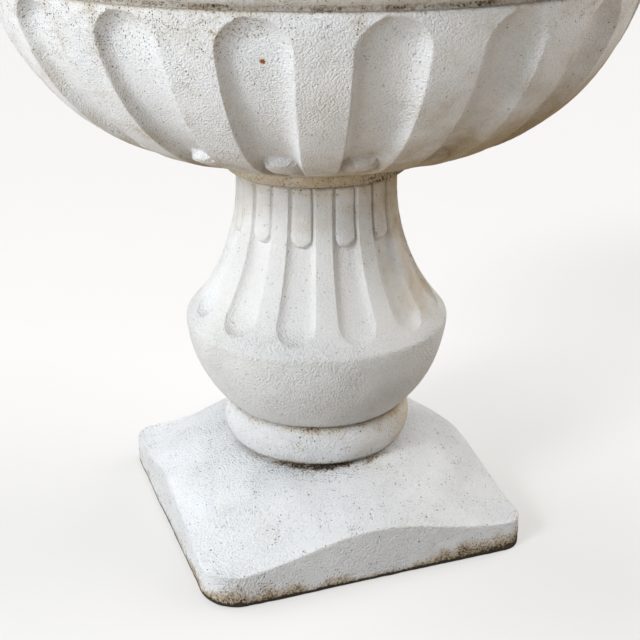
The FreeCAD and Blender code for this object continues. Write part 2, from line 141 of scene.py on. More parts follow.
def lattice_noise(points, cell, seed):
    """Smooth noise from -1 to 1: hashed values on a cubic lattice, blended with a smooth step."""
    scaled = points / cell
    base = np.floor(scaled).astype(np.int64)
    part = scaled - base
    blend = part * part * (3 - 2 * part)
    total = np.zeros(points.shape[:-1])
    for corner in itertools.product((0, 1), repeat=3):
        spot = base + np.array(corner)
        hashed = (spot * np.array([73856093, 19349663, 83492791])).sum(axis=-1) + seed * 97531
        hashed = (hashed ^ (hashed >> 13)) * 1274126177 & 0xFFFFFFFF
        hashed = (hashed ^ (hashed >> 16)) * 668265263 & 0xFFFFFFFF
        value = (hashed & 0xFFFF) / 32767.5 - 1
        total += value * np.where(corner, blend, 1 - blend).prod(axis=-1)
    return total


def rough(points, cell, seed):
    """Three octaves of lattice noise, each half as large and half as strong as the last."""
    return sum(lattice_noise(points, cell / 2**octave, seed + octave) / 2**octave for octave in range(3))


def smooth_step(low, high, values):
    """Smooth rise from zero at low to one at high: three squares less two cubes of the share between."""
    part = np.clip((values - low) / (high - low), 0, 1)
    return part * part * (3 - 2 * part)


def arc(centre, radius, start, stop):
    """Points of an arc in the profile plane, between two angles above the horizontal."""
    angles = np.linspace(start, stop, 90)
    return np.stack([centre[0] + radius * np.cos(angles), centre[1] + radius * np.sin(angles)], axis=1)


def arc_centre(start, end, radius):
    """Centre of the short arc from start to end that bulges to the right of the way it goes: left of the
    chord's middle, by the root of the radius squared less half the chord squared."""
    start, end = np.array(start), np.array(end)
    chord = end - start
    half = np.linalg.norm(chord) / 2
    left = np.array([-chord[1], chord[0]]) / (2 * half)
    return (start + end) / 2 + left * math.sqrt(radius**2 - half**2)


def arc_between(centre, start, end):
    """Points of the arc round a centre from start to end, the short way."""
    first = np.array(start) - centre
    last = np.array(end) - centre
    turn = math.atan2(first[0] * last[1] - first[1] * last[0], first @ last)
    begin = math.atan2(first[1], first[0])
    return arc(centre, np.linalg.norm(first), begin, begin + turn)


def chord_arc(start, end, radius):
    """Points of the short arc from start to end that bulges to the right of the way it goes."""
    return arc_between(arc_centre(start, end, radius), start, end)


def circles_meet(first, first_radius, second, second_radius):
    """Where two circles in the profile plane meet, on the right of the way from first to second: part of
    the way along, by the law of cosines, and off to the side by what Pythagoras leaves."""
    way = second - first
    length = np.linalg.norm(way)
    part = (length**2 + first_radius**2 - second_radius**2) / (2 * length)
    along = way / length
    side = np.array([along[1], -along[0]])
    return first + along * part + side * math.sqrt(first_radius**2 - part**2)


def turned_profile(stretches, wear):
    """Rows of a closed profile, with the corners worn round.

    stretches are named, each with its points and its share of the rows. The profile is walked at an even
    step and its points are blurred along it by a bell curve as wide as the wear. The rows are then spread
    by the shares. Returns points, outward normals and the name of each row's stretch.
    """
    parts = list(stretches.values())
    rows = sum(share for _, share in parts)
    walked = []
    numbers = []
    for number, (points, _) in enumerate(parts):
        following = np.asarray(parts[(number + 1) % len(parts)][0])[:1]
        points = np.concatenate([np.asarray(points, dtype=float), following])
        lengths = np.concatenate([[0], np.cumsum(np.linalg.norm(np.diff(points, axis=0), axis=1))])
        places = np.arange(0, lengths[-1], PROFILE_STEP)
        walked.append(np.stack([np.interp(places, lengths, points[:, axis]) for axis in (0, 1)], axis=1))
        numbers.append(np.full(len(places), number))
    shares = np.concatenate([np.full(len(w), share / len(w)) for w, (_, share) in zip(walked, parts)])
    fine = np.concatenate(walked)
    numbers = np.concatenate(numbers)
    reach = np.arange(len(fine)) * PROFILE_STEP
    reach = np.minimum(reach, len(fine) * PROFILE_STEP - reach)
    bell = np.fft.rfft(np.exp(-((reach / wear) ** 2) / 2))
    bell /= bell[0].real
    fine = np.stack([np.fft.irfft(np.fft.rfft(fine[:, axis]) * bell, len(fine)) for axis in (0, 1)], axis=1)
    tangents = np.roll(fine, -1, axis=0) - np.roll(fine, 1, axis=0)
    tangents /= np.linalg.norm(tangents, axis=1, keepdims=True)
    picks = np.searchsorted(np.cumsum(shares), (np.arange(rows) + 0.5) / rows * shares.sum())
    normals = np.stack([tangents[:, 1], -tangents[:, 0]], axis=1)
    return fine[picks], normals[picks], np.array(list(stretches))[numbers[picks]]


def carried_round(points, normals, angles, push):
    """Carries profile rows round the axis and pushes each point out along its row's normal."""
    radius = points[:, :1] + normals[:, :1] * push
    height = points[:, 1:] + normals[:, 1:] * push
    return np.stack([radius * np.cos(angles), radius * np.sin(angles), height], axis=-1)


def grid_normals(grid):
    """Outward unit normals of a grid that is closed both ways: the cross product of the step across and
    the step along, each from the neighbour before to the neighbour after."""
    along = np.roll(grid, -1, axis=0) - np.roll(grid, 1, axis=0)
    across = np.roll(grid, -1, axis=1) - np.roll(grid, 1, axis=1)
    normals = np.cross(across, along)
    return normals / np.maximum(np.linalg.norm(normals, axis=-1, keepdims=True), 1e-12)


def casting(name, grid, masks, material, body):
    """Mesh of a grid that is closed both ways, with masks as point attributes, in place of its solid."""
    rows, columns = grid.shape[:2]
    numbers = np.arange(rows * columns).reshape(rows, columns)
    across = np.roll(numbers, -1, axis=1)
    above = np.roll(numbers, -1, axis=0)
    opposite = np.roll(across, -1, axis=0)
    quads = np.stack([numbers, across, opposite, above], axis=-1).reshape(-1, 4)
    mesh = bpy.data.meshes.new(name + "_casting")
    mesh.from_pydata(grid.reshape(-1, 3), [], quads)
    mesh.polygons.foreach_set("use_smooth", np.ones(len(mesh.polygons), dtype=bool))
    for mask, values in masks.items():
        layer = mesh.attributes.new(mask, "FLOAT", "POINT")
        layer.data.foreach_set("value", np.broadcast_to(values, grid.shape[:2]).ravel().astype(np.float32))
    mesh.materials.append(material)
    mesh.update()
    piece = bpy.data.objects.new(name + "_casting", mesh)
    bpy.context.collection.objects.link(piece)
    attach(piece, body)
    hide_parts(name)


# Flutes: columns across one flute, as shares of its half width, and across the rib beside it.
BOWL_COLUMNS = np.array([0.0, 0.34, 0.6, 0.73, 0.81, 0.875, 0.93, 0.972, 1.0])
STEM_COLUMNS = np.array([0.0, 0.3, 0.52, 0.62, 0.67, 0.72, 0.77, 0.84, 0.92, 0.97, 1.0])
RIB_COLUMNS = np.array([0.025, 0.08, 0.18, 0.33, 0.5, 0.67, 0.82, 0.92, 0.975])

# Columns close up no further than to the narrowest share. Rows off the flutes take the plain share, and
# a place along the flutes that lies well before their ends.
NARROWEST = 0.3
PLAIN_NARROWING = 0.75
OFF_FLUTES = -1.0


def flute_columns(columns, count, half_angle, narrowing):
    """Column angles for every row: the flute's columns close up by the row's narrowing, and the rib's
    columns fill the rest of the pitch. Returns angles and the offsets from the flutes' middles."""
    pitch = TURN / count
    inside = np.concatenate([-columns[:0:-1], columns])
    half = half_angle * narrowing[:, None]
    offsets = np.concatenate([inside * half, half + RIB_COLUMNS * (pitch - 2 * half)], axis=1)
    middles = np.arange(count) * pitch
    angles = (middles[None, :, None] + offsets[:, None, :]).reshape(len(narrowing), -1)
    return angles, np.tile(np.where(offsets > pitch / 2, offsets - pitch, offsets), (1, count))


def narrowing_at(along, length):
    """Share of a flute's full width at a distance from its rounded end: a quarter circle, kept open."""
    part = np.clip(1 - along / length, 0, 1)
    return np.maximum(np.sqrt(1 - part**2), NARROWEST)


def hollow(offset, half_width, along, length, depth, power):
    """Depth of a flute with a rounded end: depth times one less a power of the distance from its middle
    line, as a share of the half width. Past the start of the round the distance is from its centre."""
    across = offset / half_width
    ahead = np.clip(1 - along / length, 0, None)
    distance = np.sqrt(across**2 + ahead**2)
    return depth * np.clip(1 - distance**power, 0, None)


def tongue(offset, half_width, along, length, crest, back, wall):
    """Depth of a raised tongue's face below the rib: that of its crest, plus a round back that falls with
    the fourth power of the distance, as a hollow has it, plus a steep wall where the distance passes one."""
    across = offset / half_width
    ahead = np.clip(1 - along / length, 0, None)
    distance = np.sqrt(across**2 + ahead**2)
    return crest + back * distance**4 + wall * np.clip(distance - 1, 0, None)


def soft_minimum(first, second, reach):
    """The lesser of two values, rounded by a parabola where they differ by less than the reach."""
    part = np.clip(0.5 + (second - first) / (2 * reach), 0, 1)
    return second + (first - second) * part - reach * part * (1 - part)


def worn(grid, amount, seed):
    """Moves a grid along its normals by noise: slow swellings and the fine unevenness that a mould leaves."""
    normals = grid_normals(grid)
    swell = 0.55 * lattice_noise(grid, 45 * MM, seed) + 0.3 * rough(grid, 14 * MM, seed + 7)
    return grid + normals * (amount * (swell + 0.16 * rough(grid, 5 * MM, seed + 13)))[..., None]


def angle_window(angles, middle, half_width):
    """One at an angle round the axis and falling smoothly to zero at the half width. In degrees."""
    away = np.abs((np.degrees(angles) - middle + 180) % 360 - 180)
    return 1 - smooth_step(0, half_width, away)


def add_node(tree, kind, inputs=(), **settings):
    """Adds a node, sets its properties, and links or sets its inputs, given as (socket, value) pairs."""
    made = tree.nodes.new(kind)
    for label, value in settings.items():
        setattr(made, label, value)
    for socket, value in inputs:
        if isinstance(value, bpy.types.NodeSocket):
            tree.links.new(value, made.inputs[socket])
        else:
            made.inputs[socket].default_value = value
    return made


def maths(tree, operation, *values):
    """Result of an operation on numbers or sockets."""
    return add_node(tree, "ShaderNodeMath", list(enumerate(values)), operation=operation).outputs[0]


def ramp(tree, value, low, high, start=0.0, stop=1.0):
    """Smooth step of a value from low to high, put out between start and stop."""
    pairs = [("Value", value), ("From Min", low), ("From Max", high), ("To Min", start), ("To Max", stop)]
    return add_node(tree, "ShaderNodeMapRange", pairs, interpolation_type="SMOOTHSTEP").outputs["Result"]


def mixed(tree, factor, first, second, blend="MIX"):
    """Two colours mixed by a factor. The Mix node's sockets for colours are known by their numbers."""
    pairs = [(0, factor), (6, first), (7, second)]
    return add_node(tree, "ShaderNodeMix", pairs, data_type="RGBA", blend_type=blend).outputs[2]


def noise(tree, place, scale, detail=3.0, roughness=0.55):
    """Cloudy noise from zero to one, with scale features to the metre."""
    pairs = [("Vector", place), ("Scale", scale), ("Detail", detail), ("Roughness", roughness)]
    return add_node(tree, "ShaderNodeTexNoise", pairs).outputs["Fac"]


def new_group(name, inputs, outputs):
    """Node group with named sockets. inputs are (name, kind, default) and outputs (name, kind)."""
    group = bpy.data.node_groups.new(name, "ShaderNodeTree")
    for label, kind, default in inputs:
        socket = group.interface.new_socket(label, in_out="INPUT", socket_type="NodeSocket" + kind)
        if default is not None:
            socket.default_value = default
    for label, kind in outputs:
        group.interface.new_socket(label, in_out="OUTPUT", socket_type="NodeSocket" + kind)
    return group, group.nodes.new("NodeGroupInput").outputs, group.nodes.new("NodeGroupOutput").inputs


def add_group(tree, group, inputs):
    """Adds a node group and links or sets its inputs. Returns its outputs."""
    return add_node(tree, "ShaderNodeGroup", inputs, node_tree=group).outputs


def pit_mask(tree, place, scale, largest):
    """Round pits scattered at random: near a cell's point, by a radius that differs from cell to cell."""
    cells = add_node(tree, "ShaderNodeTexVoronoi", [("Vector", place), ("Scale", scale)])
    chance = add_node(tree, "ShaderNodeSeparateColor", [("Color", cells.outputs["Color"])]).outputs[0]
    radius = maths(tree, "MULTIPLY", maths(tree, "POWER", chance, 4.0), largest)
    reach = maths(tree, "SUBTRACT", radius, cells.outputs["Distance"])
    return ramp(tree, reach, 0.0, 0.06)


def make_grain():
    """Surface of cast stone under limewash: sandy pebbles, brushed wrinkles and air-bubble pits.

    The wrinkles are noise on a place that is squeezed along the brush's way, so that they run on along it.
    Grain fades all but the pits. The hollows between the pebbles are put out for dirt to lie in, and for
    painted shade in them.
    """
    group, given, put = new_group(
        "Cast stone grain",
        [
            ("Place", "Vector", None),
            ("Brush", "Vector", BRUSH),
            ("Grain", "Float", 1.0),
            ("Fineness", "Float", 1.0),
            ("Pebbles", "Float", 1.0),
            ("Wrinkles", "Float", 1.0),
            ("Pits", "Float", 1.0),
        ],
        [("Height", "Float"), ("Hollows", "Float"), ("Pit mask", "Float"), ("Mottle", "Float")],
    )
    place = given["Place"]
    pebbles = noise(group, place, maths(group, "MULTIPLY", given["Fineness"], 430.0), 2.0, 0.5)
    sand = noise(group, place, 1100.0, 2.0, 0.6)
    patchy = ramp(group, noise(group, place, 25.0, 2.0), 0.3, 0.7, 0.75, 1.15)
    strength = maths(group, "MULTIPLY", patchy, given["Grain"])
    dot = add_node(group, "ShaderNodeVectorMath", [(0, place), (1, given["Brush"])], operation="DOT_PRODUCT")
    along = [(0, given["Brush"]), ("Scale", dot.outputs["Value"])]
    squeeze = add_node(group, "ShaderNodeVectorMath", along, operation="SCALE").outputs[0]
    shift = [(0, squeeze), (1, (-0.75, -0.75, -0.75)), (2, place)]
    brushed = add_node(group, "ShaderNodeVectorMath", shift, operation="MULTIPLY_ADD").outputs[0]
    wrinkles = noise(group, brushed, 620.0, 2.0, 0.5)
    large = pit_mask(group, place, 95.0, 0.13)
    small = pit_mask(group, place, 260.0, 0.26)
    pits = maths(group, "MULTIPLY", maths(group, "MAXIMUM", large, small), given["Pits"])
    height = maths(group, "MULTIPLY", pebbles, given["Pebbles"])
    height = maths(group, "MULTIPLY_ADD", sand, 0.3, height)
    height = maths(group, "ADD", height, maths(group, "MULTIPLY", wrinkles, given["Wrinkles"]))
    height = maths(group, "MULTIPLY", height, strength)
    height = maths(group, "MULTIPLY_ADD", pits, -0.5, height)
    low = maths(group, "MULTIPLY_ADD", sand, 0.35, maths(group, "MULTIPLY", pebbles, 0.65))
    group.links.new(height, put["Height"])
    group.links.new(maths(group, "MULTIPLY", ramp(group, low, 0.5, 0.36), strength), put["Hollows"])
    group.links.new(pits, put["Pit mask"])
    group.links.new(noise(group, place, 60.0, 4.0), put["Mottle"])
    return group


def make_weathering():
    """Colour of weathered limewash: cool and warm whites, beige stains, soil in crevices, black lichen, and
    painted shade, which the stain and soil masks and the grain's hollows also carry.

    Thin soil is a pale brown and thick soil nearly black, and a noise breaks it into crumbs. Lichen is
    round crumbs in the cells of a Voronoi pattern: more cells bear one where the mask is strong and in
    clumps, and the crumbs differ in size and darkness.
    """
    group, given, put = new_group(
        "Weathered limewash",
        [
            ("Place", "Vector", None),
            ("Soil_and_shade", "Float", 0.0),
            ("Lichen", "Float", 0.0),
            ("Stain_and_shade", "Float", 0.0),
            ("Hollows", "Float", 0.0),
            ("Pit mask", "Float", 0.0),
            ("Mottle", "Float", 0.5),
            ("Rust place", "Vector", None),
            ("Lime", "Color", (0.8, 0.8, 0.8, 1.0)),
        ],
        [("Color", "Color"), ("Roughness", "Float")],
    )
    place = given["Place"]
    warm = mixed(group, 1.0, given["Lime"], WARM_TINT, "MULTIPLY")
    colour = mixed(group, ramp(group, noise(group, place, 14.0, 3.0), 0.4, 0.75), given["Lime"], warm)
    colour = mixed(group, ramp(group, given["Mottle"], 0.35, 0.7, 0.0, 0.4), colour, warm)
    patch = maths(group, "ADD", noise(group, place, 35.0, 5.0, 0.65), given["Stain_and_shade"])
    colour = mixed(group, ramp(group, patch, 0.6, 1.35), colour, BEIGE_STAIN_AND_SHADE)
    # Dust in the grain's hollows, which also paints the shade that falls in them.
    dusty_and_shaded = mixed(group, 1.0, colour, DUST_AND_SHADE_TINT, "MULTIPLY")
    colour = mixed(group, maths(group, "MULTIPLY", given["Hollows"], 0.3), colour, dusty_and_shaded)
    crumbs = maths(group, "MULTIPLY_ADD", noise(group, place, 380.0, 4.0, 0.75), 2.4, -0.84)
    soil_and_shade = maths(group, "MULTIPLY_ADD", given["Soil_and_shade"], 1.45, crumbs)
    colour = mixed(group, ramp(group, soil_and_shade, 0.66, 1.05, 0.0, 0.85), colour, THIN_SOIL_AND_SHADE)
    colour = mixed(group, ramp(group, soil_and_shade, 1.02, 1.3, 0.0, 0.95), colour, THICK_SOIL_AND_SHADE)
    flecks = noise(group, place, 900.0, 2.0, 0.6)
    clumps = noise(group, place, 70.0, 5.0, 0.7)
    cells = add_node(group, "ShaderNodeTexVoronoi", [("Vector", place), ("Scale", 800.0)])
    odds = add_node(group, "ShaderNodeSeparateColor", [("Color", cells.outputs["Color"])]).outputs
    gathered = maths(group, "MULTIPLY_ADD", clumps, 2.4, -1.4)
    often = maths(group, "MULTIPLY_ADD", given["Lichen"], 0.75, gathered)
    grown = ramp(group, maths(group, "SUBTRACT", often, odds[0]), 0.0, 0.02)
    size = maths(group, "MULTIPLY_ADD", odds[1], 0.36, maths(group, "MULTIPLY", flecks, 0.4))
    size = maths(group, "MULTIPLY_ADD", given["Lichen"], 0.1, size)
    crumb = ramp(group, maths(group, "SUBTRACT", size, cells.outputs["Distance"]), 0.0, 0.1)
    growth = maths(group, "MULTIPLY", crumb, grown)
    darkness = maths(group, "MULTIPLY_ADD", odds[2], 0.55, 0.4)
    colour = mixed(group, maths(group, "MULTIPLY", growth, darkness), colour, BLACK_LICHEN)
    colour = mixed(group, maths(group, "MULTIPLY", given["Pit mask"], 0.85), colour, PIT_DIRT)
    ends = [(0, place), (1, given["Rust place"])]
    away = add_node(group, "ShaderNodeVectorMath", ends, operation="DISTANCE")
    ragged = maths(group, "MULTIPLY_ADD", flecks, 2.4 * MM, away.outputs["Value"])
    colour = mixed(group, ramp(group, ragged, 3.6 * MM, 2.6 * MM), colour, RUST)
    group.links.new(colour, put["Color"])
    group.links.new(ramp(group, soil_and_shade, 0.6, 1.2, 0.86, 0.97), put["Roughness"])
    return group


grain = make_grain()
weathering = make_weathering()


def stone_material(name, lime, fineness, pebbles, wrinkles, pits, relief, brush=BRUSH):
    """Cast stone of one casting: the grain lifts the surface and the weathering colours it."""
    material = bpy.data.materials.new(name)
    material.use_nodes = True
    tree = material.node_tree
    shader = tree.nodes["Principled BSDF"]
    shader.inputs["Specular IOR Level"].default_value = 0.25
    place = add_node(tree, "ShaderNodeTexCoord").outputs["Object"]
    masks = {
        label: add_node(tree, "ShaderNodeAttribute", attribute_name=label.lower()).outputs["Fac"]
        for label in ("Soil_and_shade", "Lichen", "Stain_and_shade", "Grain")
    }
    given = [("Place", place), ("Brush", brush), ("Grain", masks.pop("Grain"))]
    given += [("Fineness", fineness), ("Pebbles", pebbles), ("Wrinkles", wrinkles), ("Pits", pits)]
    surface = add_group(tree, grain, given)
    given = [("Place", place), ("Lime", lime), ("Rust place", RUST_PLACE), *masks.items()]
    given += [(label, surface[label]) for label in ("Hollows", "Pit mask", "Mottle")]
    coat = add_group(tree, weathering, given)
    bump = add_node(tree, "ShaderNodeBump", [("Distance", relief), ("Height", surface["Height"])])
    tree.links.new(bump.outputs["Normal"], shader.inputs["Normal"])
    tree.links.new(coat["Color"], shader.inputs["Base Color"])
    tree.links.new(coat["Roughness"], shader.inputs["Roughness"])
    return material


bowl_stone = stone_material(
    "Bowl stone",
    lime=(0.825, 0.83, 0.84, 1.0),
    fineness=1.6,
    pebbles=1.0,
    wrinkles=0.25,
    pits=0.45,
    relief=1.7 * MM,
)
stem_stone = stone_material(
    "Stem stone",
    lime=(0.71, 0.705, 0.70, 1.0),
    fineness=1.3,
    pebbles=0.9,
    wrinkles=0.1,
    pits=0.35,
    relief=2.7 * MM,
    brush=(0.0, 0.0, 1.0),
)
base_stone = stone_material(
    "Base stone",
    lime=(0.73, 0.735, 0.75, 1.0),
    fineness=1.3,
    pebbles=0.9,
    wrinkles=0.1,
    pits=0.9,
    relief=2.8 * MM,
)


def draw_bowl():
    """Bowl: its turned profile, with flutes cut in and tongues left standing in the flutes' lower ends.

    A flute's left wall follows a higher power than its right wall, so it is the steeper one. Rows lie
    closest together round the tongues' tips.
    """
    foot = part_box("bowl")[0][2]
    reach = (BOWL_CENTRE - BOWL_FOOT) * math.sin(BOWL_SLOPE) + BOWL_CURVE
    centre = np.array([BOWL_CENTRE, foot + BOWL_FOOT_RISE + reach / math.cos(BOWL_SLOPE)])
    groove = foot + RIM_GROOVE
    groove_angle = -math.asin((centre[1] - groove) / BOWL_CURVE)
    tip = foot + BOWL_TONGUE_RISE
    tip_angle = math.asin((centre[1] - tip) / BOWL_CURVE)
    below_tip = -tip_angle - BOWL_TIP_BELOW / BOWL_CURVE
    above_tip = -tip_angle + BOWL_TIP_ABOVE / BOWL_CURVE
    low_side = arc(centre, BOWL_CURVE, BOWL_SLOPE - math.pi / 2, below_tip)
    tip_side = arc(centre, BOWL_CURVE, below_tip, above_tip)
    high_side = arc(centre, BOWL_CURVE, above_tip, groove_angle)
    side_radius = high_side[-1, 0]
    roll_low = groove + RIM_GROOVE_WIDTH
    top = roll_low + RIM_ROLL_HEIGHT
    inside = BOWL_CURVE - BOWL_WALL
    lip_angle = math.asin((top - LIP_CHAMFER - centre[1]) / inside)
    hollow_side = arc(centre, inside, lip_angle, -math.pi / 2)
    floor = hollow_side[-1, 1]
    groove_radius = side_radius - RIM_GROOVE_DEPTH
    stretches = {
        "drain": ([(DRAIN, floor), (DRAIN, foot)], 3),
        "foot underside": ([(DRAIN, foot)], 3),
        "foot": ([(BOWL_FOOT, foot), (BOWL_FOOT, foot + BOWL_FOOT_RISE)], 6),
        "slope": ([(BOWL_FOOT + 0.1 * MM, foot + BOWL_FOOT_RISE)], 20),
        "low side": (low_side[:-1], 18),
        "tongue tips": (tip_side[:-1], 32),
        "high side": (high_side, 68),
        "groove": ([(groove_radius, groove), (groove_radius, roll_low)], 12),
        "roll": (chord_arc((side_radius, roll_low), (side_radius, top), RIM_ROLL), 20),
        "lip": ([(hollow_side[0, 0] + LIP_CHAMFER, top)], 4),
        "hollow": (hollow_side, 12),
        "floor": ([(BOWL_CENTRE, floor)], 2),
    }
    points, normals, names = turned_profile(stretches, wear=1.0 * MM)

    # Distance down the profile from the flutes' upper ends, and the columns that follow the flutes.
    from_centre = points - centre
    dip = -np.arctan2(from_centre[:, 1], from_centre[:, 0])
    outer = np.isin(names, ("slope", "low side", "tongue tips", "high side"))
    along = (dip + groove_angle) * BOWL_CURVE
    below_knee = np.clip(low_side[0, 0] - points[:, 0], 0, None)
    to_knee = (math.pi / 2 - BOWL_SLOPE + groove_angle) * BOWL_CURVE
    along = np.where(names == "slope", to_knee + below_knee, along)
    along = np.where(outer, along - BOWL_FLUTE_MARGIN, OFF_FLUTES)
    top_width = side_radius * math.sin(BOWL_FLUTE_HALF_ANGLE)
    narrowing = np.where(outer, narrowing_at(along, top_width), PLAIN_NARROWING)
    angles, offsets = flute_columns(BOWL_COLUMNS, BOWL_FLUTES, BOWL_FLUTE_HALF_ANGLE, narrowing)

    # Depth of the cut: the flute's own, or that of the tongue's face where the tongue stands in it.
    radius = points[:, :1]
    width = radius * math.sin(BOWL_FLUTE_HALF_ANGLE)
    fade_in = smooth_step(BOWL_FLUTE_START, BOWL_FLUTE_FULL, radius)
    depth = BOWL_FLUTE_DEPTH * np.sqrt(radius / side_radius) * fade_in
    across = radius * np.sin(offsets)
    steepness = np.where(offsets < 0, BOWL_LEFT_WALL_POWER, BOWL_RIGHT_WALL_POWER)
    flute = hollow(across, width, along[:, None], top_width, depth, steepness)
    past_tip = along[:, None] - ((tip_angle + groove_angle) * BOWL_CURVE - BOWL_FLUTE_MARGIN)
    share = radius / (BOWL_CENTRE + BOWL_CURVE * math.cos(tip_angle))
    face = tongue(
        across,
        width - BOWL_TONGUE_GROOVE * share,
        past_tip,
        BOWL_TONGUE_ROUND,
        crest=1.0 * MM * share,
        back=1.6 * MM * share,
        wall=55 * MM,
    )
    cut = np.where(outer[:, None], soft_minimum(flute, np.maximum(face, 0), 0.2 * MM), 0)
    cut = np.clip(cut, 0, None)
    world = angles + BOWL_TURN
    grid = worn(carried_round(points, normals, world, -cut), amount=0.7 * MM, seed=11)

    # Where dirt lies and where shade is painted, by height, by angle round the axis and by the flutes.
    height = grid[..., 2]
    outside = ~np.isin(names, ("drain", "foot underside", "lip", "hollow", "floor"))[:, None]
    in_groove = np.exp(-(((height - groove - RIM_GROOVE_WIDTH / 2) / (3.2 * MM)) ** 2)) * outside
    near_foot = (radius < BOWL_FOOT + 5 * MM) * outside
    at_foot = (1 - smooth_step(BOWL_FOOT_RISE, BOWL_FOOT_RISE + 5 * MM, height - foot)) * near_foot
    # Darker towards the foot on the underside: partly stain, partly painted shade.
    underside = (1 - smooth_step(12 * MM, 75 * MM, height - foot)) * outside
    crease = np.exp(-(((flute - face) / (1.2 * MM)) ** 2)) * (past_tip > -4 * MM) * (flute > 1.5 * MM)
    on_roll = smooth_step(roll_low, roll_low + 3 * MM, height) * outside
    below_rim = smooth_step(groove - 80 * MM, groove - 5 * MM, height) * outside * (1 - 0.6 * on_roll)
    low_right = (1 - smooth_step(20 * MM, 150 * MM, height - foot)) * outside
    hollow_rows = np.isin(names, ("drain", "hollow", "floor")) + 0.6 * (names == "lip")
    in_hollow = hollow_rows[:, None] * np.ones_like(height)
    hollow_floor = (1 - smooth_step(floor + 5 * MM, floor + 60 * MM, height)) * in_hollow
    left = angle_window(world, 205, 75)
    right = angle_window(world, -45, 80)
    far_right = angle_window(world, -15, 48)
    # Left walls of the flutes: some dirt, and painted shade on the walls that face away from the light.
    left_wall = np.exp(-(((across / width + 0.93) / 0.09) ** 2)) * (along > 0)[:, None]
    on_rib = (1 - smooth_step(0.5 * MM, 4 * MM, cut)) * outer[:, None]
    patch = angle_window(world, 238, 7) * np.exp(-(((height - groove + 15 * MM) / (9 * MM)) ** 2))
    clumps = smooth_step(-0.2, 0.5, lattice_noise(grid, 22 * MM, 19))
    masks = {
        "soil_and_shade": (0.3 + 0.24 * clumps) * in_groove
        + (0.28 + 0.22 * right) * at_foot
        + 0.16 * crease * outer[:, None]
        + 0.12 * left_wall
        + 0.22 * patch
        + 0.3 * hollow_floor,
        "lichen": 0.12 * in_groove
        + below_rim * (0.12 + 0.62 * left)
        + (0.3 + 0.3 * right) * at_foot
        + 0.3 * patch
        + 0.35 * on_roll,
        "stain_and_shade": 0.5 * in_groove
        + 0.3 * on_roll
        + 0.45 * in_hollow
        + 0.34 * at_foot
        + (0.1 + 0.14 * left) * on_rib
        + 0.22 * left_wall
        # Stain on the underside, the lower right and the far right: partly real stain, partly painted shade.
        + 0.34 * underside
        + 1.05 * right * low_right
        + ((0.02 + 0.1 * below_rim) * right + 0.35 * far_right) * outside,
        "grain": 0.55 + 0.45 * (1 - at_foot),
    }
    casting("bowl", grid, masks, bowl_stone, "bowl")


